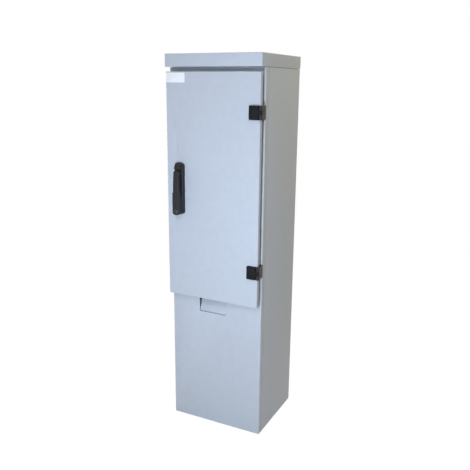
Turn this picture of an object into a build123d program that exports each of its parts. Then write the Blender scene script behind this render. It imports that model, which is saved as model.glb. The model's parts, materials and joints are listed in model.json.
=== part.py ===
from build123d import *
from math import cos, radians, sin
import os

# Sizes in millimetres, angles in degrees.
# X runs to the right seen from the front, Y to the back, Z up, with the floor at Z 0.

# Cabinet sheet metal
overall_height = 1200
body_width = 320
body_depth = 266
sheet = 2
bend_radius = 3
frame_return = 22
seam_gap = 0.8
weld_gap = 0.2
tray_corner_chamfer = 2
joggle_lap = 12
lap_relief = 40
cut_over = 5

# Roof
roof_height = 38
roof_rear_overhang = 2
roof_return = 20
roof_edge_radius = 2
roof_seal_thickness = 1
roof_seal_width = 12
roof_seal_inset = 5
top_flange = 20

# Base
base_sheet = 3
base_flange = 30
floor_hole_radius = 6
floor_pitch_x = 240
floor_pitch_y = 190
entry_width = 180
entry_depth = 120
entry_chamfer = 20

# Door and the opening behind it
door_standoff = 28
door_frame_gap = 13
door_reveal = 3
door_bottom = 448.5
door_top_gap = 13.5
door_edge_radius = 2.5
door_side_lap = 17
door_end_lap = 22
aperture_radius = 6
lip_height = 10
gasket_width = 12
gasket_gap = 0.3

# Block hinges
hinge_height = 40
hinge_inset = 113
leaf_thickness = 10
leaf_width = 30
leaf_edge_chamfer = 1.2
leaf_knuckle_gap = 0.6
knuckle_radius = 5
knuckle_share = 0.34
knuckle_gap = 0.3
hinge_pin_radius = 2.5
hinge_fit = 0.06
web_outside = 2
web_clearance = 0.8
foot_thickness = 3
foot_width = 20
cap_recess = 0.8
cap_margin = 5
cap_width = 18

# Swing handle
handle_edge = 47.5
base_length = 160
base_width = 31
base_height = 12
base_end_rise = 5
base_corner_chamfer = 2.5
base_edge_chamfer = 1.5
dish_width = 22
dish_length = 34
dish_depth = 6
dish_drop = 16
dish_chamfer = 6
spindle_rise = 50
spindle_radius = 9
spindle_fit = 0.08
spindle_proud = 3
spindle_door_gap = 0.5
shoulder_square = 12
tongue_square = 10
square_gap = 0.1
tongue_inside = 2.5
tongue_thickness = 3
tongue_height = 22
tongue_corner_chamfer = 4
tongue_back = 11
tongue_clearance = 3.5
lever_pivot_rise = 11
lever_end_radius = 7.5
lever_arm_thickness = 9.5
lever_bottom_gap = 0.6
lever_top_width = 19
lever_top_chamfer = 6
lever_arm_width = 22
lock_housing_width = 24.4
lock_housing_length = 69
lock_housing_proud = 1
lock_housing_slope = 12
lock_housing_radius = 9
lever_edge_chamfer = 1.6
tang_thickness = 8
tang_radius = 3.6
tang_gap = 0.4
tang_slot_front = 4.6
lever_pin_radius = 2
lever_pin_gap = 0.05
lever_pin_length = 17
lock_radius = 7
lock_fit = 0.1
lock_depth = 14
lock_rise = 10
lock_proud = 0.4
key_width = 1.8
key_height = 8
key_depth = 6

# Cable flap under the door
notch_width = 95
notch_offset = -12
notch_depth = 78
notch_chamfer = 2.5
flap_sheet = 1.5
flap_side_gap = 1.5
flap_bottom_gap = 0.6
flap_top_gap = 4
flap_fold = 7
flap_tilt = 15
flap_pin_radius = 2
flap_pin_wall_gap = 0.6
flap_fit = 0.08
ear_gap = 0.6
ear_depth = 9
ear_height = 16
ear_foot = 14

# Equipment panel behind the door
panel_room = 91
panel_side_gap = 3
panel_top_gap = 26
panel_foot_drop = 4
panel_bracket_leg = 20
panel_bracket_gap = 0.2
shelf_notch_x = 60
shelf_notch_width = 36
shelf_notch_depth = 30

# Breakers on the mounting rail
breaker_drop = 150
module = 18
module_gap = 0.4
device_names = ("residual_current_device", "single_pole_breaker", "three_pole_breaker")
device_module_counts = (2, 1, 3)
device_toggle_offsets = (-7.5, 0, 0)
device_linked_counts = (0, 0, 2)
breaker_height = 85
nose_height = 45
nose_proud = 12
shoulder_behind = 3
rail_behind = 53
rail_height = 35
rail_flange = 5
rail_depth = 7.5
rail_sheet = 1
rail_overrun = 24
rail_clip_gap = 0.2
rail_clip_depth = 4
rail_clip_height = 37
post_radius = 5
post_inset = 8
toggle_pivot_depth = 5
toggle_hub_radius = 3.6
toggle_hub_gap = 0.4
toggle_width = 7.6
toggle_side_gap = 0.4
toggle_mouth = 18
toggle_tab_length = 14
toggle_tab_thickness = 3.6
toggle_angle = 38
button_offset_x = 9
button_offset_z = 10
button_width = 7
button_height = 5
button_gap = 0.3
button_proud = 1.5
button_length = 7.5
button_room = 2
shroud_slot_gap = 0.8
shroud_side_margin = 13
shroud_end_margin = 19
shroud_depth = 28
shroud_back = 6
shroud_wall = 4
shroud_flange = 6
shroud_flange_thickness = 3
window_thickness = 3
window_gap = 0.3
window_tab = 9
window_tab_width = 30
window_barrel_rise = 4.2
window_barrel_gap = 0.5
window_rim = 2
window_lug_width = 12
window_lug_front = 2.4
window_lug_half = 3
window_stub_radius = 1.5
window_stub_length = 5
window_fit = 0.08

# Industrial sockets: three contacts on the left, five on the right
socket_names = ("single_phase_socket", "three_phase_socket")
socket_offsets = (-72, 66)
socket_drop = 198.5
socket_flanges = (76, 94)
socket_collars = (27, 36)
socket_inserts = (17, 25)
socket_contact_counts = (3, 5)
socket_contact_circles = (9, 14)
socket_contact_radii = (3, 3.6)
socket_flange_thickness = 6
socket_flange_chamfer = 8
socket_collar_length = 38
socket_collar_wall = 3.5
socket_back_length = 38
socket_back_inset = 5
socket_hole_gap = 1
socket_key_width = 6
socket_key_height = 3
insert_sink = 8
lid_gap = 0.3
lid_thickness = 4
lid_overlap = 2
lid_corner_chamfer = 12
lid_barrel_rise = 6
lid_barrel_width = 12
lid_rim = 2
lid_ear_width = 4
lid_ear_gap = 0.4
lid_ear_depth = 8
lid_ear_half = 3
lid_ear_front = 2.2
lid_stub_radius = 1.5
lid_fit = 0.08

# Supply box on the back wall
box_width = 150
box_height = 110
box_depth = 60
box_wall = 3
box_centre_z = 250
box_corner_chamfer = 4
box_lid_thickness = 4
box_lid_gap = 0.2
box_rebate = 1.5
terminal_width = 96
terminal_height = 26
terminal_depth = 24
terminal_poles = 5
terminal_slot = 9
terminal_slot_depth = 10
gland_offset = -40
gland_flange_radius = 17
gland_flange_height = 8
gland_nut_radius = 15
gland_nut_height = 18
gland_bore = 8
gland_behind_lid = 30

# Places worked out from the sizes above
quarter_turn = 90
hexagon_sides = 6
octagon_sides = 8
half_width = body_width / 2
inner_half = half_width - sheet
front_y = -body_depth / 2
back_y = body_depth / 2
inner_front_y = front_y + sheet
inner_back_y = back_y - sheet
roof_bottom = overall_height - roof_height
body_top = roof_bottom - roof_seal_thickness
door_face_y = front_y - door_standoff
door_inner_y = door_face_y + sheet
door_depth = door_standoff - door_frame_gap
door_rear_y = door_face_y + door_depth
door_width = body_width - 2 * door_reveal
door_top = roof_bottom - door_top_gap
door_height = door_top - door_bottom
door_mid_z = door_bottom + door_height / 2
door_right = door_width / 2
aperture_width = door_width - 2 * door_side_lap
aperture_height = door_height - 2 * door_end_lap
sill_z = door_bottom + door_end_lap
lip_y = front_y - lip_height
lip_inner_half = aperture_width / 2 - sheet


def front_plane(y, x=0, z=0):
    return Plane(origin=(x, y, z), x_dir=(1, 0, 0), z_dir=(0, -1, 0))


def side_plane(x=0, y=0, z=0):
    return Plane(origin=(x, y, z), x_dir=(0, 1, 0), z_dir=(1, 0, 0))


def block(low, high, mode=Mode.ADD):
    size = [b - a for a, b in zip(low, high)]
    middle = [(a + b) / 2 for a, b in zip(low, high)]
    with Locations(tuple(middle)):
        Box(*size, mode=mode)


def rod_x(radius, y, z, low, high, mode=Mode.ADD):
    with Locations(Location(((low + high) / 2, y, z), (0, quarter_turn, 0))):
        Cylinder(radius, high - low, mode=mode)


def rod_y(radius, x, z, low, high, mode=Mode.ADD):
    with Locations(Location((x, (low + high) / 2, z), (quarter_turn, 0, 0))):
        Cylinder(radius, high - low, mode=mode)


def rod_z(radius, x, y, low, high, mode=Mode.ADD):
    with Locations((x, y, (low + high) / 2)):
        Cylinder(radius, high - low, mode=mode)


def keep(piece, name):
    piece.part.label = name
    export_step(piece.part, f"parts/{name}.step")


os.makedirs("parts", exist_ok=True)

# Hinge places
hinge_levels = (door_top - hinge_inset, door_bottom + hinge_inset)
hinge_names = ("upper", "lower")
hinge_x = half_width
hinge_y = door_face_y - knuckle_radius
leaf_right = hinge_x - knuckle_radius - leaf_knuckle_gap
leaf_left = leaf_right - leaf_width
web_left = door_right + web_clearance
web_right = hinge_x + web_outside
foot_left = web_right - foot_width

# Handle places
handle_x = -door_width / 2 + handle_edge
base_front_y = door_face_y - base_height
spindle_z = door_mid_z + spindle_rise
pivot_y = base_front_y - lever_pivot_rise

# Cable notch and flap places
notch_bottom = sill_z - notch_depth
notch_left = notch_offset - notch_width / 2
notch_right = notch_offset + notch_width / 2
curl_inner = flap_pin_radius + flap_fit
curl_outer = curl_inner + flap_sheet
flap_axis_y = inner_front_y + flap_pin_radius + flap_pin_wall_gap
flap_axis_z = notch_bottom + flap_bottom_gap + curl_outer

# Front frame: one folded sheet with the door opening, its drip lip and the cable notch
with BuildPart() as front_frame:
    with BuildSketch():
        with BuildLine():
            FilletPolyline(
                (-half_width, front_y + frame_return),
                (-half_width, front_y),
                (half_width, front_y),
                (half_width, front_y + frame_return),
                radius=bend_radius,
            )
            offset(amount=sheet, side=Side.LEFT)
        make_face()
    extrude(amount=body_top)
    with BuildSketch(front_plane(inner_front_y, 0, door_mid_z)):
        RectangleRounded(aperture_width, aperture_height, aperture_radius)
    extrude(amount=sheet + lip_height)
    with BuildSketch(front_plane(inner_front_y, 0, door_mid_z)):
        RectangleRounded(
            aperture_width - 2 * sheet, aperture_height - 2 * sheet, aperture_radius - sheet
        )
    extrude(amount=sheet + lip_height, mode=Mode.SUBTRACT)
    with BuildSketch(front_plane(inner_front_y + cut_over, notch_offset, sill_z)) as notch:
        Rectangle(notch_width, 2 * notch_depth)
        chamfer(notch.vertices().group_by(Axis.Y)[0], notch_chamfer)
    extrude(amount=2 * cut_over + sheet + lip_height, mode=Mode.SUBTRACT)
keep(front_frame, "front_frame")

# Body shell: sides and back in one sheet, joggled at the front to lap behind the frame
lap_x = inner_half - weld_gap
seam_y = front_y + frame_return + weld_gap
with BuildPart() as body_shell:
    with BuildSketch():
        with BuildLine():
            FilletPolyline(
                (-lap_x, seam_y - joggle_lap),
                (-lap_x, seam_y),
                (-half_width, seam_y + seam_gap),
                (-half_width, back_y),
                (half_width, back_y),
                (half_width, seam_y + seam_gap),
                (lap_x, seam_y),
                (lap_x, seam_y - joggle_lap),
                radius=(0, 0, bend_radius, bend_radius, 0, 0),
            )
            offset(amount=sheet, side=Side.RIGHT)
        make_face()
    extrude(amount=body_top)
    for level in (0, body_top):
        block(
            (-inner_half, seam_y - joggle_lap - cut_over, level - lap_relief),
            (inner_half, seam_y + seam_gap + 2 * sheet, level + lap_relief),
            Mode.SUBTRACT,
        )
keep(body_shell, "body_shell")

# Top plate: shallow tray that closes the cabinet under the roof
tray_width = 2 * (inner_half - weld_gap)
tray_depth = inner_back_y - inner_front_y - 2 * weld_gap
with BuildPart() as top_plate:
    with BuildSketch(Plane.XY.offset(body_top - top_flange)) as tray_outline:
        Rectangle(tray_width, tray_depth)
        chamfer(tray_outline.vertices(), tray_corner_chamfer)
    extrude(amount=top_flange)
    offset(amount=-sheet, openings=top_plate.faces().sort_by(Axis.Z)[0])
keep(top_plate, "top_plate")

# Roof cap: folded tray with inturned lower returns, overhanging to the door's face
roof_back_y = back_y + roof_rear_overhang
roof_depth = roof_back_y - door_face_y
roof_mid_y = (roof_back_y + door_face_y) / 2
with BuildPart() as roof_cap:
    with BuildSketch(Plane.XY.offset(roof_bottom)):
        with Locations((0, roof_mid_y)):
            Rectangle(body_width, roof_depth)
    extrude(amount=roof_height)
    fillet(roof_cap.faces().sort_by(Axis.Z)[-1].edges(), roof_edge_radius)
    with BuildSketch(Plane.XY.offset(roof_bottom + sheet)):
        with Locations((0, roof_mid_y)):
            Rectangle(body_width - 2 * sheet, roof_depth - 2 * sheet)
    extrude(amount=roof_height - 2 * sheet, mode=Mode.SUBTRACT)
    block(
        (-half_width + roof_return, front_y + roof_return, roof_bottom - cut_over),
        (half_width - roof_return, roof_back_y - roof_return, roof_bottom + sheet),
        Mode.SUBTRACT,
    )
keep(roof_cap, "roof_cap")

# Roof seal between the top plate and the roof's returns
seal_width = body_width - 2 * roof_seal_inset
seal_depth = body_depth - 2 * roof_seal_inset
with BuildPart() as roof_seal:
    with BuildSketch(Plane.XY.offset(body_top)):
        Rectangle(seal_width, seal_depth)
        Rectangle(
            seal_width - 2 * roof_seal_width, seal_depth - 2 * roof_seal_width, mode=Mode.SUBTRACT
        )
    extrude(amount=roof_seal_thickness)
keep(roof_seal, "roof_seal")

# Base frame: tray with the floor fixing holes and the cable entry
with BuildPart() as base_frame:
    with BuildSketch() as base_outline:
        Rectangle(tray_width, tray_depth)
        chamfer(base_outline.vertices(), tray_corner_chamfer)
    extrude(amount=base_flange)
    block(
        (-tray_width / 2 + sheet, -tray_depth / 2 + sheet, base_sheet),
        (tray_width / 2 - sheet, tray_depth / 2 - sheet, base_flange + cut_over),
        Mode.SUBTRACT,
    )
    with BuildSketch() as base_cuts:
        Rectangle(entry_width, entry_depth)
        chamfer(base_cuts.vertices(), entry_chamfer)
        with GridLocations(floor_pitch_x, floor_pitch_y, 2, 2):
            Circle(floor_hole_radius)
    extrude(amount=base_sheet, mode=Mode.SUBTRACT)
keep(base_frame, "base_frame")

# Door: overlay tray with rounded front bends
with BuildPart() as door_panel:
    with BuildSketch(front_plane(door_rear_y, 0, door_mid_z)):
        Rectangle(door_width, door_height)
    extrude(amount=door_depth)
    fillet(door_panel.faces().sort_by(Axis.Y)[0].edges(), door_edge_radius)
    with BuildSketch(front_plane(door_rear_y, 0, door_mid_z)):
        Rectangle(door_width - 2 * sheet, door_height - 2 * sheet)
    extrude(amount=door_depth - sheet, mode=Mode.SUBTRACT)
    rod_y(
        spindle_radius + spindle_door_gap,
        handle_x,
        spindle_z,
        door_face_y - cut_over,
        door_inner_y + cut_over,
        Mode.SUBTRACT,
    )
keep(door_panel, "door_panel")

# Door gasket: closed foam ring that meets the drip lip
gasket_mid_width = aperture_width - sheet
gasket_mid_height = aperture_height - sheet
with BuildPart() as door_gasket:
    with BuildSketch(front_plane(lip_y - gasket_gap, 0, door_mid_z)):
        Rectangle(gasket_mid_width + gasket_width, gasket_mid_height + gasket_width)
        Rectangle(
            gasket_mid_width - gasket_width, gasket_mid_height - gasket_width, mode=Mode.SUBTRACT
        )
    extrude(amount=lip_y - gasket_gap - door_inner_y)
keep(door_gasket, "door_gasket")

# Block hinges: door leaf, frame leaf and pin at two levels
middle_half = hinge_height * knuckle_share / 2
knuckle_low = middle_half + knuckle_gap
for name, level in zip(hinge_names, hinge_levels):
    low_z = level - hinge_height / 2
    high_z = level + hinge_height / 2
    with BuildPart() as door_leaf:
        with BuildSketch(front_plane(door_face_y, leaf_left + leaf_width / 2, level)):
            Rectangle(leaf_width, hinge_height)
        extrude(amount=leaf_thickness)
        chamfer(door_leaf.faces().sort_by(Axis.Y)[0].edges(), leaf_edge_chamfer)
        with BuildSketch(
            front_plane(door_face_y - leaf_thickness, leaf_left + cap_margin + cap_width / 2, level)
        ):
            Rectangle(cap_width, hinge_height - 2 * cap_margin)
            Rectangle(
                cap_width - 2 * cap_recess,
                hinge_height - 2 * cap_margin - 2 * cap_recess,
                mode=Mode.SUBTRACT,
            )
        extrude(amount=-cap_recess, mode=Mode.SUBTRACT)
        block(
            (leaf_right - leaf_edge_chamfer, door_face_y - leaf_thickness, level - middle_half),
            (hinge_x, door_face_y, level + middle_half),
        )
        rod_z(knuckle_radius, hinge_x, hinge_y, level - middle_half, level + middle_half)
        rod_z(hinge_pin_radius + hinge_fit, hinge_x, hinge_y, low_z, high_z, Mode.SUBTRACT)
    keep(door_leaf, f"{name}_hinge_door_leaf")
    with BuildPart() as frame_leaf:
        block((foot_left, front_y - foot_thickness, low_z), (web_right, front_y, high_z))
        block((web_left, hinge_y, low_z), (web_right, front_y, high_z))
        for side in (-1, 1):
            ends = sorted((level + side * knuckle_low, level + side * hinge_height / 2))
            rod_z(knuckle_radius, hinge_x, hinge_y, ends[0], ends[1])
        block(
            (leaf_right, hinge_y - cut_over, level - knuckle_low),
            (web_right + cut_over, hinge_y + knuckle_radius + knuckle_gap, level + knuckle_low),
            Mode.SUBTRACT,
        )
        rod_z(hinge_pin_radius + hinge_fit, hinge_x, hinge_y, low_z, high_z, Mode.SUBTRACT)
    keep(frame_leaf, f"{name}_hinge_frame_leaf")

with BuildPart() as hinge_pins:
    for level in hinge_levels:
        rod_z(hinge_pin_radius, hinge_x, hinge_y, level - hinge_height / 2, level + hinge_height / 2)
keep(hinge_pins, "hinge_pins")

# Handle base: long escutcheon with arched ends and a finger dish
half_base = base_length / 2
with BuildPart() as handle_base:
    with BuildSketch(front_plane(door_face_y, handle_x, door_mid_z)):
        with BuildLine():
            Line((-base_width / 2, half_base - base_end_rise), (-base_width / 2, -half_base + base_end_rise))
            ThreePointArc(
                (-base_width / 2, -half_base + base_end_rise),
                (0, -half_base),
                (base_width / 2, -half_base + base_end_rise),
            )
            Line((base_width / 2, -half_base + base_end_rise), (base_width / 2, half_base - base_end_rise))
            ThreePointArc(
                (base_width / 2, half_base - base_end_rise),
                (0, half_base),
                (-base_width / 2, half_base - base_end_rise),
            )
        make_face()
    extrude(amount=base_height)
    chamfer(handle_base.edges().filter_by(Axis.Y), base_corner_chamfer)
    chamfer(handle_base.faces().sort_by(Axis.Y)[0].edges(), base_edge_chamfer)
    with BuildSketch(
        front_plane(base_front_y, handle_x, spindle_z - dish_drop - dish_length / 2)
    ) as dish:
        Rectangle(dish_width, dish_length)
        chamfer(dish.vertices(), dish_chamfer)
    extrude(amount=-dish_depth, mode=Mode.SUBTRACT)
    rod_y(
        spindle_radius + spindle_fit,
        handle_x,
        spindle_z,
        base_front_y - cut_over,
        door_face_y + cut_over,
        Mode.SUBTRACT,
    )
keep(handle_base, "handle_base")

# Spindle: tang in front, round through the door, squared behind it
spindle_front = base_front_y - spindle_proud
tongue_front = inner_front_y + tongue_inside
tongue_rear = tongue_front + tongue_thickness
shaft_end = tongue_rear + square_gap
with BuildPart() as handle_spindle:
    rod_y(spindle_radius, handle_x, spindle_z, spindle_front, door_inner_y + sheet)
    block(
        (handle_x - tang_thickness / 2, pivot_y, spindle_z - tang_radius),
        (handle_x + tang_thickness / 2, spindle_front, spindle_z + tang_radius),
    )
    rod_x(
        tang_radius,
        pivot_y,
        spindle_z,
        handle_x - tang_thickness / 2,
        handle_x + tang_thickness / 2,
    )
    block(
        (handle_x - shoulder_square / 2, door_inner_y, spindle_z - shoulder_square / 2),
        (handle_x + shoulder_square / 2, tongue_front - square_gap, spindle_z + shoulder_square / 2),
    )
    block(
        (handle_x - tongue_square / 2, door_inner_y, spindle_z - tongue_square / 2),
        (handle_x + tongue_square / 2, shaft_end, spindle_z + tongue_square / 2),
    )
    rod_x(
        lever_pin_radius + lever_pin_gap,
        pivot_y,
        spindle_z,
        handle_x - tang_thickness,
        handle_x + tang_thickness,
        Mode.SUBTRACT,
    )
keep(handle_spindle, "handle_spindle")

# Latch tongue: turns with the spindle, points to the frame when the lever hangs down
tongue_tip = -lip_inner_half + tongue_clearance
tongue_root = handle_x + tongue_back
hole_square = tongue_square + 2 * square_gap
with BuildPart() as latch_tongue:
    with BuildSketch(
        front_plane(tongue_rear, (tongue_tip + tongue_root) / 2, spindle_z)
    ) as tongue_outline:
        Rectangle(tongue_root - tongue_tip, tongue_height)
        chamfer(tongue_outline.vertices(), tongue_corner_chamfer)
    extrude(amount=tongue_thickness)
    block(
        (handle_x - hole_square / 2, tongue_front - cut_over, spindle_z - hole_square / 2),
        (handle_x + hole_square / 2, tongue_rear + cut_over, spindle_z + hole_square / 2),
        Mode.SUBTRACT,
    )
keep(latch_tongue, "latch_tongue")

# Lever: front outline cut to the side profile, arched over the dish, lock housing at the foot
lever_front = pivot_y - lever_end_radius
lever_rear = base_front_y - lever_bottom_gap
lever_under = lever_front + lever_arm_thickness
lever_bottom = door_mid_z - base_length / 2
housing_top = lever_bottom + lock_housing_length
housing_front = lever_front - lock_housing_proud
lever_top = spindle_z + lever_end_radius
tang_slot_half = tang_thickness / 2 + tang_gap
with BuildPart() as lever_arm:
    with BuildSketch(front_plane(lever_rear, handle_x)) as arm_outline:
        with BuildLine():
            Polyline(
                (-lever_top_width / 2, lever_top),
                (-lever_arm_width / 2, lever_bottom),
                (lever_arm_width / 2, lever_bottom),
                (lever_top_width / 2, lever_top),
                close=True,
            )
        make_face()
        chamfer(arm_outline.vertices().group_by(Axis.Y)[-1], lever_top_chamfer)
    extrude(amount=lever_rear - lever_front)
    chamfer(lever_arm.faces().sort_by(Axis.Y)[0].edges(), lever_edge_chamfer)
    with BuildSketch(side_plane(handle_x)):
        with BuildLine():
            Polyline(
                (lever_front, spindle_z),
                (lever_front, lever_bottom + lock_housing_radius),
                (lever_under, lever_bottom + lock_housing_radius),
                (lever_under, spindle_z),
                close=True,
            )
        make_face()
        with Locations((pivot_y, spindle_z)):
            Circle(lever_end_radius)
    extrude(amount=lock_housing_width, both=True, mode=Mode.INTERSECT)
with BuildPart() as handle_lever:
    with BuildSketch(front_plane(lever_rear, handle_x)) as housing_outline:
        with Locations((0, lever_bottom)):
            Rectangle(lock_housing_width, lock_housing_length, align=(Align.CENTER, Align.MIN))
        fillet(housing_outline.vertices().group_by(Axis.Y)[0], lock_housing_radius)
    extrude(amount=lever_rear - housing_front)
    chamfer(handle_lever.faces().sort_by(Axis.Y)[0].edges(), lever_edge_chamfer)
    with BuildSketch(side_plane(handle_x)):
        with BuildLine():
            Polyline(
                (lever_under, housing_top),
                (lever_rear, housing_top),
                (lever_rear, housing_top - lock_housing_slope),
                close=True,
            )
        make_face()
    extrude(amount=lock_housing_width, both=True, mode=Mode.SUBTRACT)
    add(lever_arm.part)
    block(
        (handle_x - tang_slot_half, pivot_y - tang_slot_front, spindle_z - tang_radius - tang_gap),
        (handle_x + tang_slot_half, lever_rear, lever_top + cut_over),
        Mode.SUBTRACT,
    )
    rod_x(
        lever_pin_radius + lever_pin_gap,
        pivot_y,
        spindle_z,
        handle_x - lock_housing_width,
        handle_x + lock_housing_width,
        Mode.SUBTRACT,
    )
    rod_y(
        lock_radius + lock_fit,
        handle_x,
        lever_bottom + lock_rise,
        housing_front - cut_over,
        housing_front + lock_depth + lock_fit,
        Mode.SUBTRACT,
    )
keep(handle_lever, "handle_lever")

with BuildPart() as lever_pin:
    rod_x(
        lever_pin_radius,
        pivot_y,
        spindle_z,
        handle_x - lever_pin_length / 2,
        handle_x + lever_pin_length / 2,
    )
keep(lever_pin, "lever_pin")

lock_z = lever_bottom + lock_rise
with BuildPart() as lock_plug:
    rod_y(lock_radius, handle_x, lock_z, housing_front - lock_proud, housing_front + lock_depth)
    block(
        (handle_x - key_width / 2, housing_front - cut_over, lock_z - key_height / 2),
        (handle_x + key_width / 2, housing_front + key_depth, lock_z + key_height / 2),
        Mode.SUBTRACT,
    )
keep(lock_plug, "lock_plug")

# Cable flap: sheet curled round its pin, leaning inward by the tilt
flap_length = sill_z - flap_top_gap - flap_axis_z
flap_up = (0, cos(radians(flap_tilt)), -sin(radians(flap_tilt)))
flap_half = notch_width / 2 - flap_side_gap
with BuildPart() as cable_flap:
    with BuildSketch(
        Plane(origin=(notch_offset, flap_axis_y, flap_axis_z), x_dir=flap_up, z_dir=(1, 0, 0))
    ):
        Circle(curl_outer)
        with Locations((-curl_outer, 0)):
            Rectangle(flap_sheet, flap_length, align=(Align.MIN, Align.MIN))
        with Locations((-curl_outer, flap_length)):
            Rectangle(flap_fold, flap_sheet, align=(Align.MIN, Align.MAX))
        Circle(curl_inner, mode=Mode.SUBTRACT)
    extrude(amount=flap_half, both=True)
keep(cable_flap, "cable_flap")

ear_left = notch_left - ear_gap
ear_right = notch_right + ear_gap
with BuildPart() as flap_brackets:
    for side, edge in ((-1, ear_left), (1, ear_right)):
        xs = sorted((edge, edge + side * sheet))
        feet = sorted((edge, edge + side * ear_foot))
        low_z = flap_axis_z - ear_height / 2
        high_z = flap_axis_z + ear_height / 2
        block((xs[0], inner_front_y, low_z), (xs[1], inner_front_y + ear_depth, high_z))
        block((feet[0], inner_front_y, low_z), (feet[1], inner_front_y + sheet, high_z))
keep(flap_brackets, "flap_brackets")

with BuildPart() as flap_pin:
    rod_x(flap_pin_radius, flap_axis_y, flap_axis_z, ear_left, ear_right)
keep(flap_pin, "flap_pin")

# Equipment panel: folded back at the foot to close the wiring space
panel_y = inner_back_y - panel_room
panel_back = panel_y + sheet
panel_half = inner_half - panel_side_gap
panel_foot = sill_z - panel_foot_drop
panel_top = body_top - panel_top_gap
bracket_front = panel_back + panel_bracket_gap
breaker_z = panel_top - breaker_drop
row_width = module * sum(device_module_counts)
slot_width = row_width + 2 * shroud_slot_gap
slot_height = nose_height + 2 * shroud_slot_gap
socket_centres = [(x, breaker_z - socket_drop) for x in socket_offsets]
socket_backs = [collar - socket_back_inset for collar in socket_collars]
with BuildPart() as equipment_panel:
    with BuildSketch(side_plane()):
        with BuildLine():
            FilletPolyline(
                (panel_y, panel_top),
                (panel_y, panel_foot),
                (inner_back_y - weld_gap, panel_foot),
                radius=bend_radius,
            )
            offset(amount=sheet, side=Side.LEFT)
        make_face()
    extrude(amount=panel_half, both=True)
    with BuildSketch(front_plane(panel_back + cut_over)):
        with Locations((0, breaker_z)):
            Rectangle(slot_width, slot_height)
        for centre, back in zip(socket_centres, socket_backs):
            with Locations(centre):
                Rectangle(2 * (back + socket_hole_gap), 2 * (back + socket_hole_gap))
    extrude(amount=sheet + 2 * cut_over, mode=Mode.SUBTRACT)
    block(
        (shelf_notch_x - shelf_notch_width / 2, inner_back_y - shelf_notch_depth, panel_foot - cut_over),
        (shelf_notch_x + shelf_notch_width / 2, inner_back_y, panel_foot + sheet + cut_over),
        Mode.SUBTRACT,
    )
keep(equipment_panel, "equipment_panel")

with BuildPart() as panel_brackets:
    for side in (-1, 1):
        outer = side * (inner_half - weld_gap)
        wall = sorted((outer, outer - side * sheet))
        leg = sorted((outer, outer - side * panel_bracket_leg))
        low_z = panel_foot + sheet + bend_radius
        bracket_rear = bracket_front + panel_bracket_leg
        block((wall[0], bracket_front, low_z), (wall[1], bracket_rear, panel_top))
        block((leg[0], bracket_front, low_z), (leg[1], bracket_front + sheet, panel_top))
keep(panel_brackets, "panel_brackets")

# Mounting rail on two hexagon posts behind the panel
rail_y = panel_y + rail_behind
rail_half = rail_height / 2
web_half = rail_half - rail_flange
rail_length = row_width + 2 * rail_overrun
post_x = rail_length / 2 - post_inset
with BuildPart() as mounting_rail:
    with BuildSketch(side_plane(0, rail_y, breaker_z)):
        with BuildLine():
            Polyline(
                (0, rail_half),
                (0, web_half),
                (rail_depth, web_half),
                (rail_depth, -web_half),
                (0, -web_half),
                (0, -rail_half),
            )
            offset(amount=rail_sheet, side=Side.LEFT, kind=Kind.INTERSECTION)
        make_face()
    extrude(amount=rail_length / 2, both=True)
keep(mounting_rail, "mounting_rail")

with BuildPart() as rail_posts:
    for x in (-post_x, post_x):
        with BuildSketch(front_plane(rail_y + rail_depth, x, breaker_z)):
            RegularPolygon(post_radius, hexagon_sides)
        extrude(amount=rail_y + rail_depth - panel_back)
keep(rail_posts, "rail_posts")

# Modular devices: residual current device first, then the breakers
nose_y = panel_y - nose_proud
shoulder_y = panel_back + shoulder_behind
device_back = rail_y + rail_clip_depth
clip_y = rail_y - rail_clip_gap
pivot_depth_y = nose_y + toggle_pivot_depth
device_left = -row_width / 2
toggle_up = (0, -cos(radians(toggle_angle)), sin(radians(toggle_angle)))
mouth_back = pivot_depth_y + toggle_hub_radius + toggle_hub_gap
for index, name in enumerate(device_names):
    span = device_module_counts[index] * module
    centre_x = device_left + span / 2
    device_left = device_left + span
    toggle_x = centre_x + device_toggle_offsets[index]
    toggle_half = (toggle_width + device_linked_counts[index] * module) / 2
    mouth_half = toggle_half + toggle_side_gap
    with BuildPart() as device:
        with BuildSketch(side_plane(centre_x, 0, breaker_z)):
            with BuildLine():
                Polyline(
                    (nose_y, nose_height / 2),
                    (shoulder_y, nose_height / 2),
                    (shoulder_y, breaker_height / 2),
                    (device_back, breaker_height / 2),
                    (device_back, rail_clip_height / 2),
                    (clip_y, rail_clip_height / 2),
                    (clip_y, -rail_clip_height / 2),
                    (device_back, -rail_clip_height / 2),
                    (device_back, -breaker_height / 2),
                    (shoulder_y, -breaker_height / 2),
                    (shoulder_y, -nose_height / 2),
                    (nose_y, -nose_height / 2),
                    close=True,
                )
            make_face()
        extrude(amount=(span - module_gap) / 2, both=True)
        block(
            (toggle_x - mouth_half, nose_y - cut_over, breaker_z - toggle_mouth / 2),
            (toggle_x + mouth_half, mouth_back, breaker_z + toggle_mouth / 2),
            Mode.SUBTRACT,
        )
        if name == device_names[0]:
            button_x = centre_x + button_offset_x
            button_z = breaker_z + button_offset_z
            button_front = nose_y - button_proud
            button_back = button_front + button_length
            hole_half_x = button_width / 2 + button_gap
            hole_half_z = button_height / 2 + button_gap
            block(
                (button_x - hole_half_x, nose_y - cut_over, button_z - hole_half_z),
                (button_x + hole_half_x, button_back + button_room, button_z + hole_half_z),
                Mode.SUBTRACT,
            )
    keep(device, name)
    with BuildPart() as toggle:
        with BuildSketch(
            Plane(origin=(toggle_x, pivot_depth_y, breaker_z), x_dir=toggle_up, z_dir=(1, 0, 0))
        ):
            Circle(toggle_hub_radius)
            Rectangle(
                toggle_tab_length, toggle_tab_thickness, align=(Align.MIN, Align.CENTER)
            )
        extrude(amount=toggle_half, both=True)
    keep(toggle, f"{name}_toggle")

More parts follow.
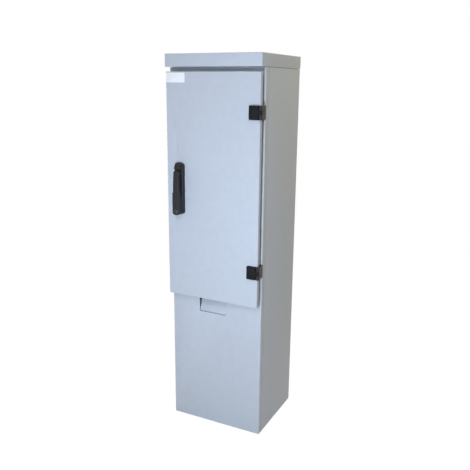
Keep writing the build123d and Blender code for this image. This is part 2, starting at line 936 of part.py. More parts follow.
with BuildPart() as test_button:
    block(
        (button_x - button_width / 2, button_front, button_z - button_height / 2),
        (button_x + button_width / 2, button_back, button_z + button_height / 2),
    )
keep(test_button, "test_button")

# Breaker shroud on the panel with a window hung on moulded stubs
shroud_width = slot_width + 2 * shroud_side_margin
shroud_height = slot_height + 2 * shroud_end_margin
shroud_front = panel_y - shroud_depth
shroud_top = breaker_z + shroud_height / 2
window_axis_y = shroud_front - window_gap - window_thickness / 2
window_axis_z = shroud_top + window_barrel_rise
lug_inner = shroud_width / 2 - window_lug_width
lug_front = window_axis_y - window_lug_front
pocket_half = window_stub_radius + window_fit
with BuildPart() as breaker_shroud:
    with BuildSketch(front_plane(panel_y, 0, breaker_z)):
        Rectangle(shroud_width + 2 * shroud_flange, shroud_height + 2 * shroud_flange)
    extrude(amount=shroud_flange_thickness)
    with BuildSketch(front_plane(panel_y, 0, breaker_z)):
        Rectangle(shroud_width, shroud_height)
    extrude(amount=shroud_depth)
    with BuildSketch(front_plane(panel_y - shroud_back, 0, breaker_z)):
        Rectangle(shroud_width - 2 * shroud_wall, shroud_height - 2 * shroud_wall)
    extrude(amount=shroud_depth, mode=Mode.SUBTRACT)
    with BuildSketch(front_plane(panel_y, 0, breaker_z)):
        Rectangle(slot_width, slot_height)
    extrude(amount=shroud_back, mode=Mode.SUBTRACT)
    for side in (-1, 1):
        xs = sorted((side * lug_inner, side * shroud_width / 2))
        block(
            (xs[0], lug_front, shroud_top - shroud_wall),
            (xs[1], shroud_front + shroud_wall, window_axis_z + window_lug_half),
        )
    block(
        (-shroud_width, lug_front - cut_over, breaker_z),
        (shroud_width, shroud_front, window_axis_z - window_lug_half),
        Mode.SUBTRACT,
    )
    pocket_end = lug_inner + window_stub_length + window_gap
    block(
        (-pocket_end, window_axis_y - pocket_half, window_axis_z - pocket_half),
        (pocket_end, window_axis_y + pocket_half, window_axis_z + pocket_half),
        Mode.SUBTRACT,
    )
keep(breaker_shroud, "breaker_shroud")

window_low = breaker_z - shroud_height / 2
window_back = shroud_front - window_gap
window_front = window_back - window_thickness
rim_half = lug_inner - window_barrel_gap
stub_end = lug_inner + window_stub_length
with BuildPart() as breaker_window:
    block((-shroud_width / 2, window_front, window_low), (shroud_width / 2, window_back, shroud_top))
    block((-rim_half, window_front, window_low), (rim_half, window_back, window_axis_z + window_rim))
    block(
        (-window_tab_width / 2, window_front, window_low - window_tab),
        (window_tab_width / 2, window_back, window_low),
    )
    rod_x(window_stub_radius, window_axis_y, window_axis_z, -stub_end, stub_end)
keep(breaker_window, "breaker_window")

# Industrial sockets: housing, contact insert and sprung lid each
flange_front = panel_y - socket_flange_thickness
mouth_y = flange_front - socket_collar_length
lid_back = mouth_y - lid_gap
lid_front = lid_back - lid_thickness
lid_axis_y = lid_back - lid_thickness / 2
lid_half = lid_barrel_width / 2
ear_inner = lid_half + lid_ear_gap
ear_outer = ear_inner + lid_ear_width
ear_front = lid_axis_y - lid_ear_front
stub_half = lid_stub_radius + lid_fit
for index, name in enumerate(socket_names):
    x, z = socket_centres[index]
    collar = socket_collars[index]
    bore = collar - socket_collar_wall
    grip = bore + socket_collar_wall / 2
    back = socket_backs[index]
    lid_axis_z = z + collar + lid_barrel_rise
    with BuildPart() as housing:
        with BuildSketch(front_plane(panel_y, x, z)) as flange_outline:
            Rectangle(socket_flanges[index], socket_flanges[index])
            chamfer(flange_outline.vertices(), socket_flange_chamfer)
        extrude(amount=socket_flange_thickness)
        rod_y(collar, x, z, mouth_y, panel_y)
        block((x - back, panel_y, z - back), (x + back, panel_y + socket_back_length, z + back))
        rod_y(bore, x, z, mouth_y - cut_over, panel_y, Mode.SUBTRACT)
        block(
            (x - socket_key_width / 2, mouth_y, z - grip),
            (x + socket_key_width / 2, panel_y, z - bore + socket_key_height),
        )
        for side in (-1, 1):
            xs = sorted((x + side * ear_inner, x + side * ear_outer))
            block(
                (xs[0], ear_front, z + grip),
                (xs[1], mouth_y + lid_ear_depth, lid_axis_z + lid_ear_half),
            )
        block(
            (x - ear_outer, ear_front - cut_over, z),
            (x + ear_outer, mouth_y, lid_axis_z - lid_ear_half),
            Mode.SUBTRACT,
        )
        block(
            (x - ear_outer, lid_axis_y - stub_half, lid_axis_z - stub_half),
            (x + ear_outer, lid_axis_y + stub_half, lid_axis_z + stub_half),
            Mode.SUBTRACT,
        )
    keep(housing, name)
    with BuildPart() as insert:
        rod_y(socket_inserts[index], x, z, mouth_y + insert_sink, panel_y)
        with BuildSketch(front_plane(mouth_y + insert_sink, x, z)):
            with PolarLocations(socket_contact_circles[index], socket_contact_counts[index]):
                RegularPolygon(socket_contact_radii[index], octagon_sides, major_radius=False)
        extrude(amount=-(socket_collar_length + socket_flange_thickness), mode=Mode.SUBTRACT)
    keep(insert, f"{name}_insert")
    with BuildPart() as lid:
        with BuildSketch(front_plane(lid_back, x, z)) as lid_outline:
            Rectangle(2 * (collar + lid_overlap), 2 * (collar + lid_overlap))
            chamfer(lid_outline.vertices(), lid_corner_chamfer)
        extrude(amount=lid_thickness)
        block((x - lid_half, lid_front, z + bore), (x + lid_half, lid_back, lid_axis_z + lid_rim))
        rod_x(lid_stub_radius, lid_axis_y, lid_axis_z, x - ear_outer, x + ear_outer)
    keep(lid, f"{name}_lid")

# Supply box with terminals and two glands, on the back wall below the panel
box_front = inner_back_y - box_depth
box_low = box_centre_z - box_height / 2
box_high = box_centre_z + box_height / 2
gland_y = box_front + gland_behind_lid
with BuildPart() as supply_box:
    with BuildSketch(front_plane(inner_back_y, 0, box_centre_z)) as box_outline:
        Rectangle(box_width, box_height)
        chamfer(box_outline.vertices(), box_corner_chamfer)
    extrude(amount=box_depth)
    with BuildSketch(front_plane(inner_back_y - box_wall, 0, box_centre_z)):
        Rectangle(box_width - 2 * box_wall, box_height - 2 * box_wall)
    extrude(amount=box_depth, mode=Mode.SUBTRACT)
    with BuildSketch(Plane.XY.offset(box_low)):
        with Locations((gland_offset, gland_y)):
            RegularPolygon(gland_bore, octagon_sides, major_radius=False)
    extrude(amount=box_height, mode=Mode.SUBTRACT)
keep(supply_box, "supply_box")

plug_width = box_width - 2 * box_wall - 2 * box_lid_gap
plug_height = box_height - 2 * box_wall - 2 * box_lid_gap
with BuildPart() as supply_lid:
    with BuildSketch(front_plane(box_front, 0, box_centre_z)) as lid_outline:
        Rectangle(box_width, box_height)
        chamfer(lid_outline.vertices(), box_corner_chamfer)
    extrude(amount=box_lid_thickness)
    chamfer(supply_lid.faces().sort_by(Axis.Y)[0].edges(), box_rebate)
    with BuildSketch(front_plane(box_front, 0, box_centre_z)):
        Rectangle(plug_width, plug_height)
    extrude(amount=-box_rebate)
keep(supply_lid, "supply_lid")

terminal_back = inner_back_y - box_wall
with BuildPart() as supply_terminals:
    block(
        (-terminal_width / 2, terminal_back - terminal_depth, box_centre_z - terminal_height / 2),
        (terminal_width / 2, terminal_back, box_centre_z + terminal_height / 2),
    )
    with BuildSketch(front_plane(terminal_back - terminal_depth, 0, box_centre_z)):
        with GridLocations(terminal_width / terminal_poles, terminal_height, terminal_poles, 1):
            Rectangle(terminal_slot, terminal_slot)
    extrude(amount=-terminal_slot_depth, mode=Mode.SUBTRACT)
keep(supply_terminals, "supply_terminals")

with BuildPart() as supply_glands:
    for face_z, way in ((box_low, -1), (box_high, 1)):
        nut_z = face_z + way * gland_flange_height
        tip_z = nut_z + way * gland_nut_height
        for level, radius, height in (
            (face_z, gland_flange_radius, gland_flange_height),
            (nut_z, gland_nut_radius, gland_nut_height),
        ):
            with BuildSketch(Plane(origin=(gland_offset, gland_y, level), z_dir=(0, 0, way))):
                RegularPolygon(radius, hexagon_sides)
            extrude(amount=height)
        ends = sorted((tip_z + way * cut_over, face_z - way * cut_over))
        rod_z(gland_bore, gland_offset, gland_y, ends[0], ends[1], Mode.SUBTRACT)
keep(supply_glands, "supply_glands")
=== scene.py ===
import json
import math

import bpy
from mathutils import Matrix, Vector


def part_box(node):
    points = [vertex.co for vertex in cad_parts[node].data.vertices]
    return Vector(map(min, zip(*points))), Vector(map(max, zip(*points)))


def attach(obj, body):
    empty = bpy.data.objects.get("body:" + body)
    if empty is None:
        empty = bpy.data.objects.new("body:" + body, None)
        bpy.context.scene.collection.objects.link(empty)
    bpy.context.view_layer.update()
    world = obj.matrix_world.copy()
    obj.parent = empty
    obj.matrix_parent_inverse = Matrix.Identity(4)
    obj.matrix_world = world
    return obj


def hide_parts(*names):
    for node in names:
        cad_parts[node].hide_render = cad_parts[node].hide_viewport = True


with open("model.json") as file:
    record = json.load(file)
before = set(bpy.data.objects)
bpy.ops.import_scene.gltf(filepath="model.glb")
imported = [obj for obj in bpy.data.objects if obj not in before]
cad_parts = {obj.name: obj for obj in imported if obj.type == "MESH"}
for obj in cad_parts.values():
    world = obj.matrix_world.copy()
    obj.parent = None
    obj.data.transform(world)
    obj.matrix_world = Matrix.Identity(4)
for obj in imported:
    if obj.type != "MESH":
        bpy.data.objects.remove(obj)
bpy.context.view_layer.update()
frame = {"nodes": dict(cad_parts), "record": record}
nodes = frame["nodes"]
slotOf = {part["node"]: part["material_slot"] for part in frame["record"]["subparts"]}
bodyOf = {node: body for body, held in frame["record"]["behaviour"]["bodies"].items() for node in held}
mm = 0.001
print("frame loaded,", len(nodes), "pieces")


# shared shader effects, built once

grainPlan = {"grainDetail": 3.0, "cloudDetail": 4.0, "noiseSpan": (0.3, 0.7)}
spanglePlan = {"pitScale": 420.0, "pitDetail": 2.0}
wholeSpan = (0.0, 1.0)
lookInputs = {"Colour A": "Color", "Colour B": "Color", "Rough Low": "Float", "Rough High": "Float"}
lookOutputs = {"Colour": "Color", "Roughness": "Float", "Height": "Float"}


def feed(tree, socket, value):
    # an output is linked, a number or colour is set on the socket
    if isinstance(value, bpy.types.NodeSocket):
        tree.links.new(value, socket)
    else:
        socket.default_value = value


def newGroup(name, scales):
    tree = bpy.data.node_groups.new(name, "ShaderNodeTree")
    inputs = {**{scale: "Float" for scale in scales}, **lookInputs}
    for way, sockets in (("INPUT", inputs), ("OUTPUT", lookOutputs)):
        for socket, kind in sockets.items():
            tree.interface.new_socket(socket, in_out=way, socket_type="NodeSocket" + kind)
    given = tree.nodes.new("NodeGroupInput").outputs
    out = tree.nodes.new("NodeGroupOutput").inputs
    coords = tree.nodes.new("ShaderNodeTexCoord").outputs["Object"]
    return tree, given, out, coords


def noiseNode(tree, coords, scale, detail):
    node = tree.nodes.new("ShaderNodeTexNoise")
    for socket, value in (("Vector", coords), ("Scale", scale), ("Detail", detail)):
        feed(tree, node.inputs[socket], value)
    return node.outputs["Fac"]


def rangeNode(tree, value, span, ends):
    node = tree.nodes.new("ShaderNodeMapRange")
    sockets = ("Value", "From Min", "From Max", "To Min", "To Max")
    for socket, given in zip(sockets, (value, *span, *ends)):
        feed(tree, node.inputs[socket], given)
    return node.outputs["Result"]


def mixNode(tree, factor, first, second):
    node = tree.nodes.new("ShaderNodeMix")
    node.data_type = "RGBA"
    feed(tree, node.inputs["Factor"], factor)
    colours = [socket for socket in node.inputs if socket.type == "RGBA"]
    for socket, colour in zip(colours, (first, second)):
        feed(tree, socket, colour)
    return [socket for socket in node.outputs if socket.type == "RGBA"][0]


def buildSurfaceGrain(plan):
    # fine grain for height, slow clouds for tone and gloss
    tree, given, out, coords = newGroup("surfaceGrain", ("Grain Scale", "Cloud Scale"))
    grain = noiseNode(tree, coords, given["Grain Scale"], plan["grainDetail"])
    cloud = noiseNode(tree, coords, given["Cloud Scale"], plan["cloudDetail"])
    roughEnds = (given["Rough Low"], given["Rough High"])
    tone = rangeNode(tree, cloud, plan["noiseSpan"], wholeSpan)
    rough = rangeNode(tree, cloud, plan["noiseSpan"], roughEnds)
    feed(tree, out["Colour"], mixNode(tree, tone, given["Colour A"], given["Colour B"]))
    feed(tree, out["Roughness"], rough)
    feed(tree, out["Height"], grain)
    return tree


def buildZincSpangle(plan):
    # crystal patches of hot-dip galvanised sheet
    tree, given, out, coords = newGroup("zincSpangle", ("Scale",))
    cells = tree.nodes.new("ShaderNodeTexVoronoi")
    feed(tree, cells.inputs["Vector"], coords)
    feed(tree, cells.inputs["Scale"], given["Scale"])
    split = tree.nodes.new("ShaderNodeSeparateColor")
    feed(tree, split.inputs["Color"], cells.outputs["Color"])
    roughEnds = (given["Rough Low"], given["Rough High"])
    rough = rangeNode(tree, split.outputs["Green"], wholeSpan, roughEnds)
    feed(tree, out["Colour"], mixNode(tree, split.outputs["Red"], given["Colour A"], given["Colour B"]))
    feed(tree, out["Roughness"], rough)
    feed(tree, out["Height"], noiseNode(tree, coords, plan["pitScale"], plan["pitDetail"]))
    return tree


surfaceGrain = buildSurfaceGrain(grainPlan)
zincSpangle = buildZincSpangle(spanglePlan)
print("shader groups ready")


# finishes, one per material slot

coatings = {
    "body_paint": {
        "a": (0.535, 0.570, 0.615), "b": (0.560, 0.594, 0.640), "rough": (0.36, 0.46),
        "grain": 620, "bump": 0.10, "cloud": 44, "shine": 0.36},
    "black_plastic": {
        "a": (0.016, 0.0155, 0.016), "b": (0.023, 0.0225, 0.023), "rough": (0.42, 0.56),
        "grain": 1600, "bump": 0.12, "shine": 0.25},
    "rubber": {
        "a": (0.016, 0.016, 0.017), "b": (0.026, 0.026, 0.027), "rough": (0.82, 0.92),
        "grain": 900, "bump": 0.35},
    "device_white": {
        "a": (0.74, 0.74, 0.71), "b": (0.79, 0.79, 0.76), "rough": (0.40, 0.50),
        "grain": 1500, "bump": 0.06},
    "toggle_dark": {
        "a": (0.030, 0.030, 0.034), "b": (0.042, 0.042, 0.046), "rough": (0.38, 0.50),
        "grain": 1500, "bump": 0.06},
    "socket_blue": {
        "a": (0.020, 0.100, 0.360), "b": (0.026, 0.120, 0.400), "rough": (0.30, 0.40),
        "grain": 1300, "bump": 0.05},
    "socket_red": {
        "a": (0.430, 0.018, 0.016), "b": (0.480, 0.024, 0.020), "rough": (0.30, 0.40),
        "grain": 1300, "bump": 0.05},
    "contact_grey": {
        "a": (0.090, 0.092, 0.098), "b": (0.115, 0.118, 0.124), "rough": (0.48, 0.58),
        "grain": 1300, "bump": 0.08},
    "box_grey": {
        "a": (0.470, 0.485, 0.500), "b": (0.510, 0.525, 0.540), "rough": (0.46, 0.56),
        "grain": 1100, "bump": 0.10},
    "button_yellow": {
        "a": (0.700, 0.430, 0.030), "b": (0.760, 0.480, 0.040), "rough": (0.34, 0.44),
        "grain": 1500, "bump": 0.05},
}
plainCoating = {"cloud": 8.0, "shine": 0.5}  # holds where a coating names none of its own
metals = {
    "zinc": {
        "a": (0.36, 0.37, 0.38), "b": (0.46, 0.47, 0.48), "rough": (0.54, 0.68),
        "scale": 110, "bump": 0.05},
    "steel": {
        "a": (0.27, 0.265, 0.25), "b": (0.35, 0.345, 0.325), "rough": (0.42, 0.58),
        "scale": 260, "bump": 0.04},
    "lock_metal": {
        "a": (0.060, 0.060, 0.064), "b": (0.095, 0.095, 0.100), "rough": (0.36, 0.50),
        "scale": 300, "bump": 0.03},
}
clearLook = {
    "colour": (0.80, 0.84, 0.86), "refraction": 1.45, "rough": (0.03, 0.08),
    "grain": 300.0, "cloud": 12.0}
bumpDepth = 0.6 * mm


def withAlpha(colour):
    return (*colour, 1.0)


def newMaterial(name):
    material = bpy.data.materials.new(name)
    material.use_nodes = True
    return material, material.node_tree, material.node_tree.nodes["Principled BSDF"]


def placeGroup(tree, group, values, rough):
    node = tree.nodes.new("ShaderNodeGroup")
    node.node_tree = group
    for socket, value in {**values, "Rough Low": rough[0], "Rough High": rough[1]}.items():
        feed(tree, node.inputs[socket], value)
    return node.outputs


def patternFinish(name, group, scales, look):
    material, tree, shader = newMaterial(name)
    colours = {"Colour A": withAlpha(look["a"]), "Colour B": withAlpha(look["b"])}
    pattern = placeGroup(tree, group, {**scales, **colours}, look["rough"])
    bump = tree.nodes.new("ShaderNodeBump")
    feed(tree, bump.inputs["Strength"], look["bump"])
    feed(tree, bump.inputs["Distance"], bumpDepth)
    feed(tree, bump.inputs["Height"], pattern["Height"])
    feed(tree, shader.inputs["Base Color"], pattern["Colour"])
    feed(tree, shader.inputs["Roughness"], pattern["Roughness"])
    feed(tree, shader.inputs["Normal"], bump.outputs["Normal"])
    return material, shader


def coatedFinish(name, look):
    look = {**plainCoating, **look}
    scales = {"Grain Scale": look["grain"], "Cloud Scale": look["cloud"]}
    material, shader = patternFinish(name, surfaceGrain, scales, look)
    shader.inputs["Specular IOR Level"].default_value = look["shine"]
    return material


def metalFinish(name, look):
    material, shader = patternFinish(name, zincSpangle, {"Scale": look["scale"]}, look)
    shader.inputs["Metallic"].default_value = 1.0
    return material


def clearFinish(name, look):
    material, tree, shader = newMaterial(name)
    scales = {"Grain Scale": look["grain"], "Cloud Scale": look["cloud"]}
    grain = placeGroup(tree, surfaceGrain, scales, look["rough"])
    feed(tree, shader.inputs["Base Color"], withAlpha(look["colour"]))
    feed(tree, shader.inputs["Roughness"], grain["Roughness"])
    feed(tree, shader.inputs["Transmission Weight"], 1.0)
    feed(tree, shader.inputs["IOR"], look["refraction"])
    return material


finishOf = {name: coatedFinish(name + "Finish", look) for name, look in coatings.items()}
finishOf.update({name: metalFinish(name + "Finish", look) for name, look in metals.items()})
finishOf["window_clear"] = clearFinish("windowFinish", clearLook)

for name, piece in nodes.items():
    finish = finishOf[slotOf[name]]
    if not piece.material_slots:
        piece.data.materials.append(finish)
    for place in piece.material_slots:
        place.material = finish
print("finishes assigned:", len(finishOf))


# modelling helpers, a rounding is a pair of width and steps

overrun = 5 * mm  # a cutter reaches this far past what it cuts
slack = 1 * mm  # a point this near to a plane counts as lying on it
facing = 0.9  # least part of a direction that counts as facing that way
smallSides, roundSides, fineSides = 32, 40, 64
flatAngle, edgeAngle, smoothAngle, softAngle = (math.radians(angle) for angle in (1, 30, 35, 40))
nodeGap, cutGap = 0.002 * mm, 0.003 * mm  # points closer than this are merged


def facesFront(centre, way):
    return way.y < -facing


def facesBack(centre, way):
    return way.y > facing


def runsDeep(centre, way):
    return abs(way.y) > facing


def leaveEdit():
    bpy.ops.object.mode_set(mode="OBJECT")


def deselectAll():
    if bpy.context.object and bpy.context.object.mode != "OBJECT":
        leaveEdit()
    bpy.ops.object.select_all(action="DESELECT")


def activate(piece):
    deselectAll()
    piece.select_set(True)
    bpy.context.view_layer.objects.active = piece


def editAll(piece):
    activate(piece)
    bpy.ops.object.mode_set(mode="EDIT")
    bpy.ops.mesh.select_all(action="SELECT")


def settle(name):
    bpy.ops.object.transform_apply(location=True, rotation=True, scale=True)
    bpy.context.object.name = name
    return bpy.context.object


def midway(low, high):
    return [(a + b) / 2 for a, b in zip(low, high)]


def startBlock(name, low, high):
    deselectAll()
    sizes = [b - a for a, b in zip(low, high)]
    bpy.ops.mesh.primitive_cube_add(size=1, location=midway(low, high), scale=sizes)
    return settle(name)


def startRod(name, radius, start, end, sides=roundSides):
    deselectAll()
    start, end = Vector(start), Vector(end)
    turn = (end - start).to_track_quat("Z", "Y").to_euler()
    bpy.ops.mesh.primitive_cylinder_add(
        vertices=sides, radius=radius, depth=(end - start).length, location=(start + end) / 2, rotation=turn)
    return settle(name)


def pick(piece, kind, test):
    # selects faces, edges or points by place and direction, and stays in edit mode
    activate(piece)
    bpy.ops.object.mode_set(mode="EDIT")
    bpy.ops.mesh.select_mode(type=kind)
    bpy.ops.mesh.select_all(action="DESELECT")
    leaveEdit()
    mesh = piece.data
    if kind == "FACE":
        for face in mesh.polygons:
            face.select = test(face.center, face.normal)
    elif kind == "EDGE":
        for edge in mesh.edges:
            a, b = (mesh.vertices[i].co for i in edge.vertices)
            edge.select = test((a + b) / 2, (b - a).normalized())
    else:
        for point in mesh.vertices:
            point.select = test(point.co)
    bpy.ops.object.mode_set(mode="EDIT")


def roundOff(piece, kind, test, rounding):
    # bevels the picked edges, or the rims of the picked faces
    pick(piece, kind, test)
    bpy.ops.mesh.bevel(offset=rounding[0], segments=rounding[1], affect="EDGES", clamp_overlap=True)
    leaveEdit()


def sinkFront(piece, ring, depth):
    # leaves a ring standing round the sunk front face
    pick(piece, "FACE", facesFront)
    bpy.ops.mesh.inset(thickness=ring)
    bpy.ops.mesh.extrude_region_move(TRANSFORM_OT_translate={"value": (0, depth, 0)})
    leaveEdit()


def roundedBlock(name, low, high, corner, rim, rimSide=facesFront):
    block = startBlock(name, low, high)
    roundOff(block, "EDGE", runsDeep, corner)
    roundOff(block, "FACE", rimSide, rim)
    return block


def rodLike(node, name, rim):
    # a rod as wide and deep as the node, its front rim rounded
    low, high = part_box(node)
    x, _, z = midway(low, high)
    rod = startRod(name, (high.x - low.x) / 2, (x, high.y, z), (x, low.y, z), fineSides)
    roundOff(rod, "FACE", facesFront, rim)
    return rod


def bevelEdges(piece, rounding, angle=edgeAngle, clamp=True):
    activate(piece)
    bevel = piece.modifiers.new("softEdges", "BEVEL")
    bevel.width, bevel.segments = rounding
    bevel.limit_method = "ANGLE"
    bevel.angle_limit = angle
    bevel.use_clamp_overlap = clamp
    bpy.ops.object.modifier_apply(modifier=bevel.name)


def combine(piece, other, way):
    activate(piece)
    tool = piece.modifiers.new("shape", "BOOLEAN")
    tool.operation = way
    tool.solver = "EXACT"
    tool.object = other
    bpy.ops.object.modifier_apply(modifier=tool.name)
    bpy.data.objects.remove(other, do_unlink=True)


def cutBlock(piece, low, high):
    combine(piece, startBlock("cutter", low, high), "DIFFERENCE")


def cutRod(piece, radius, start, end, sides=roundSides):
    combine(piece, startRod("cutter", radius, start, end, sides), "DIFFERENCE")


def cutDeep(piece, radius, place, front, back, sides):
    # a bore that runs from front to back
    x, z = place
    cutRod(piece, radius, (x, front, z), (x, back, z), sides)


def copyPiece(piece, name, shift):
    activate(piece)
    bpy.ops.object.duplicate(linked=False)
    bpy.context.object.location = shift
    return settle(name)


def joinPieces(pieces, name):
    activate(pieces[0])
    for piece in pieces[1:]:
        piece.select_set(True)
    bpy.ops.object.join()
    bpy.context.object.name = name
    return bpy.context.object


def scatter(model, name, places):
    # one modelled piece copied to every place, then the model itself is dropped
    copies = [copyPiece(model, name, place) for place in places]
    bpy.data.objects.remove(model, do_unlink=True)
    return joinPieces(copies, name)


def mendMesh(piece):
    # merges coincident points and drops slivers left by the cuts
    editAll(piece)
    bpy.ops.mesh.remove_doubles(threshold=cutGap)
    bpy.ops.mesh.dissolve_degenerate(threshold=cutGap)
    leaveEdit()


def finishPiece(piece, body, slot, replaced=(), finish=None):
    mendMesh(piece)
    bpy.ops.object.shade_smooth_by_angle(angle=smoothAngle)
    piece.data.materials.clear()
    piece.data.materials.append(finish or finishOf[slot])
    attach(piece, body)
    if replaced:
        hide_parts(*replaced)


def softTwin(node, name, rounding):
    # a twin of a plain node: merged, flattened to whole faces, edges rounded
    piece = bpy.data.objects.new(name, nodes[node].data.copy())
    bpy.context.collection.objects.link(piece)
    editAll(piece)
    bpy.ops.mesh.remove_doubles(threshold=nodeGap)
    bpy.ops.mesh.dissolve_limited(angle_limit=flatAngle)
    leaveEdit()
    bevelEdges(piece, rounding, softAngle, clamp=False)
    return piece


def softCopy(node, name, rounding, finish=None):
    finishPiece(softTwin(node, name, rounding), bodyOf[node], slotOf[node], (node,), finish)


# blank label on the door

labelPlan = {
    "left": 1.7 * mm, "down": 3.2 * mm, "width": 64 * mm, "height": 28.6 * mm, "thick": 0.4 * mm,
    "corner": (1.5 * mm, 4), "rimPart": 3, "rimSteps": 2,
}
labelLook = {
    "a": (0.92, 0.92, 0.92), "b": (0.95, 0.95, 0.95), "rough": (0.30, 0.38),
    "grain": 900, "bump": 0.02}
doorLow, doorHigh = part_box("door_panel")


def makeLabel(plan):
    left = doorLow.x + plan["left"]
    top = doorHigh.z - plan["down"]
    low = (left, doorLow.y - plan["thick"], top - plan["height"])
    high = (left + plan["width"], doorLow.y, top)
    rim = (plan["thick"] / plan["rimPart"], plan["rimSteps"])
    label = roundedBlock("blankLabel", low, high, plan["corner"], rim)
    finishPiece(label, "door", "device_white", finish=coatedFinish("labelFinish", labelLook))


makeLabel(labelPlan)
print("label made")


# swing handle: escutcheon, lever and lock

handleX, pivotY, pivotZ = midway(*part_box("lever_pin"))
pivotHeadPlan = {
    "width": 25 * mm, "bottom": 11.6 * mm, "top": 25 * mm, "proud": 10.4 * mm, "sunk": 2 * mm,
    "slope": 5.4 * mm, "narrowing": 0.84, "leaning": 0.5, "corner": (2.6 * mm, 5),
    "hollow": 12.8 * mm, "hollowReach": 30 * mm, "hollowSunk": 0.1 * mm,
}


def makePivotHead(plan, baseFront):
    # sloped block above the lever's end, hollowed so that the end can turn
    half = plan["width"] / 2
    bottom = pivotZ + plan["bottom"]
    low = (handleX - half, baseFront - plan["proud"], bottom)
    high = (handleX + half, baseFront + plan["sunk"], pivotZ + plan["top"])
    head = startBlock("pivotHead", low, high)
    pick(head, "VERT", lambda co: co.z > bottom + slack)
    bpy.ops.transform.resize(value=(plan["narrowing"], 1, 1), center_override=(handleX, baseFront, pivotZ))
    leaveEdit()
    pick(head, "VERT", lambda co: co.z > bottom + slack and co.y < baseFront)
    bpy.ops.transform.translate(value=(0, plan["slope"], 0))
    leaveEdit()
    roundOff(head, "FACE", lambda centre, way: way.y < -plan["leaning"], plan["corner"])
    front, back = baseFront - plan["hollowReach"], baseFront + plan["hollowSunk"]
    cutDeep(head, plan["hollow"], (handleX, pivotZ), front, back, fineSides)
    return head


escutcheonPlan = {
    "corner": (10 * mm, 8), "rim": (2.4 * mm, 4), "spindleBore": 9.08 * mm,
    "dishWidth": 22 * mm, "dishTop": 16 * mm, "dishLength": 34 * mm, "dishDepth": 6 * mm,
    "dishCorner": (6 * mm, 6), "dishFloor": (3 * mm, 4),
}


def makeEscutcheon(plan):
    low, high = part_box("handle_base")
    base = roundedBlock("handleEscutcheon", low, high, plan["corner"], plan["rim"])
    half = plan["dishWidth"] / 2
    dishTop = pivotZ - plan["dishTop"]
    dishLow = (handleX - half, low.y - plan["dishDepth"], dishTop - plan["dishLength"])
    dishHigh = (handleX + half, low.y + plan["dishDepth"], dishTop)
    dish = roundedBlock("cutter", dishLow, dishHigh, plan["dishCorner"], plan["dishFloor"], facesBack)
    combine(base, dish, "DIFFERENCE")
    combine(base, makePivotHead(pivotHeadPlan, low.y), "UNION")
    cutDeep(base, plan["spindleBore"], (handleX, pivotZ), low.y - overrun, high.y + overrun, fineSides)
    finishPiece(base, "door", "black_plastic", ("handle_base",))


leverPlan = {
    "armWidth": 22 * mm, "topWidth": 19 * mm, "armThick": 9.5 * mm, "topArch": (6.6 * mm, 10),
    "armEdge": (2.6 * mm, 5), "taperFrom": 34 * mm, "taper": 2.2 * mm,
    "housingProud": 1.0 * mm, "housingLength": 69 * mm, "housingRear": 18.9 * mm,
    "housingCorner": (9 * mm, 10), "housingEdge": (2.0 * mm, 4), "underSlope": 12 * mm,
    "tangHalf": 4.4 * mm, "tangFront": 4.6 * mm, "tangBelow": 4.0 * mm,
    "pinBore": 2.05 * mm, "pinReach": 20 * mm,
    "lockRise": 10 * mm, "lockBore": 7.1 * mm, "lockClear": 0.1 * mm,
}


def makeLeverArm(plan, low, high):
    def atTop(centre, way):
        return runsDeep(centre, way) and centre.z > pivotZ

    half = plan["armWidth"] / 2
    front = low.y + plan["housingProud"]
    bottom = low.z + plan["housingCorner"][0]
    narrowing = plan["topWidth"] / plan["armWidth"]
    armHigh = (handleX + half, front + plan["armThick"], high.z)
    arm = startBlock("handleLever", (handleX - half, front, bottom), armHigh)
    pick(arm, "VERT", lambda co: co.z > pivotZ)
    bpy.ops.transform.resize(value=(narrowing, 1, 1), center_override=(handleX, front, high.z))
    bpy.ops.mesh.select_all(action="SELECT")
    bpy.ops.mesh.bisect(plane_co=(handleX, front, high.z - plan["taperFrom"]), plane_no=(0, 0, 1))
    leaveEdit()
    pick(arm, "VERT", lambda co: co.z > pivotZ and co.y < front + slack)
    bpy.ops.transform.translate(value=(0, plan["taper"], 0))  # the front runs back towards the pivot
    leaveEdit()
    roundOff(arm, "EDGE", atTop, plan["topArch"])
    roundOff(arm, "FACE", facesFront, plan["armEdge"])
    return arm


def makeHousing(plan, low, high):
    def atBottom(centre, way):
        return runsDeep(centre, way) and centre.z < low.z + slack

    top = low.z + plan["housingLength"]
    rear = low.y + plan["housingRear"]
    under = low.y + plan["housingProud"] + plan["armThick"]
    slope = (0, plan["underSlope"], rear - under)
    housing = startBlock("lockHousing", low, (high.x, rear, top))
    roundOff(housing, "EDGE", atBottom, plan["housingCorner"])
    editAll(housing)
    bpy.ops.mesh.bisect(plane_co=(handleX, under, top), plane_no=slope, use_fill=True, clear_outer=True)
    leaveEdit()
    roundOff(housing, "FACE", facesFront, plan["housingEdge"])
    return housing


def makeLever(plan):
    low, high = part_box("handle_lever")
    lockLow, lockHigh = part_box("lock_plug")
    lever = makeLeverArm(plan, low, high)
    combine(lever, makeHousing(plan, low, high), "UNION")
    tangLow = (handleX - plan["tangHalf"], pivotY - plan["tangFront"], pivotZ - plan["tangBelow"])
    cutBlock(lever, tangLow, (handleX + plan["tangHalf"], high.y, high.z + overrun))
    left, right = handleX - plan["pinReach"], handleX + plan["pinReach"]
    cutRod(lever, plan["pinBore"], (left, pivotY, pivotZ), (right, pivotY, pivotZ), smallSides)
    lockPlace = (handleX, low.z + plan["lockRise"])
    lockBack = lockHigh.y + plan["lockClear"]
    cutDeep(lever, plan["lockBore"], lockPlace, lockLow.y - overrun, lockBack, fineSides)
    finishPiece(lever, "lever", "black_plastic", ("handle_lever",))


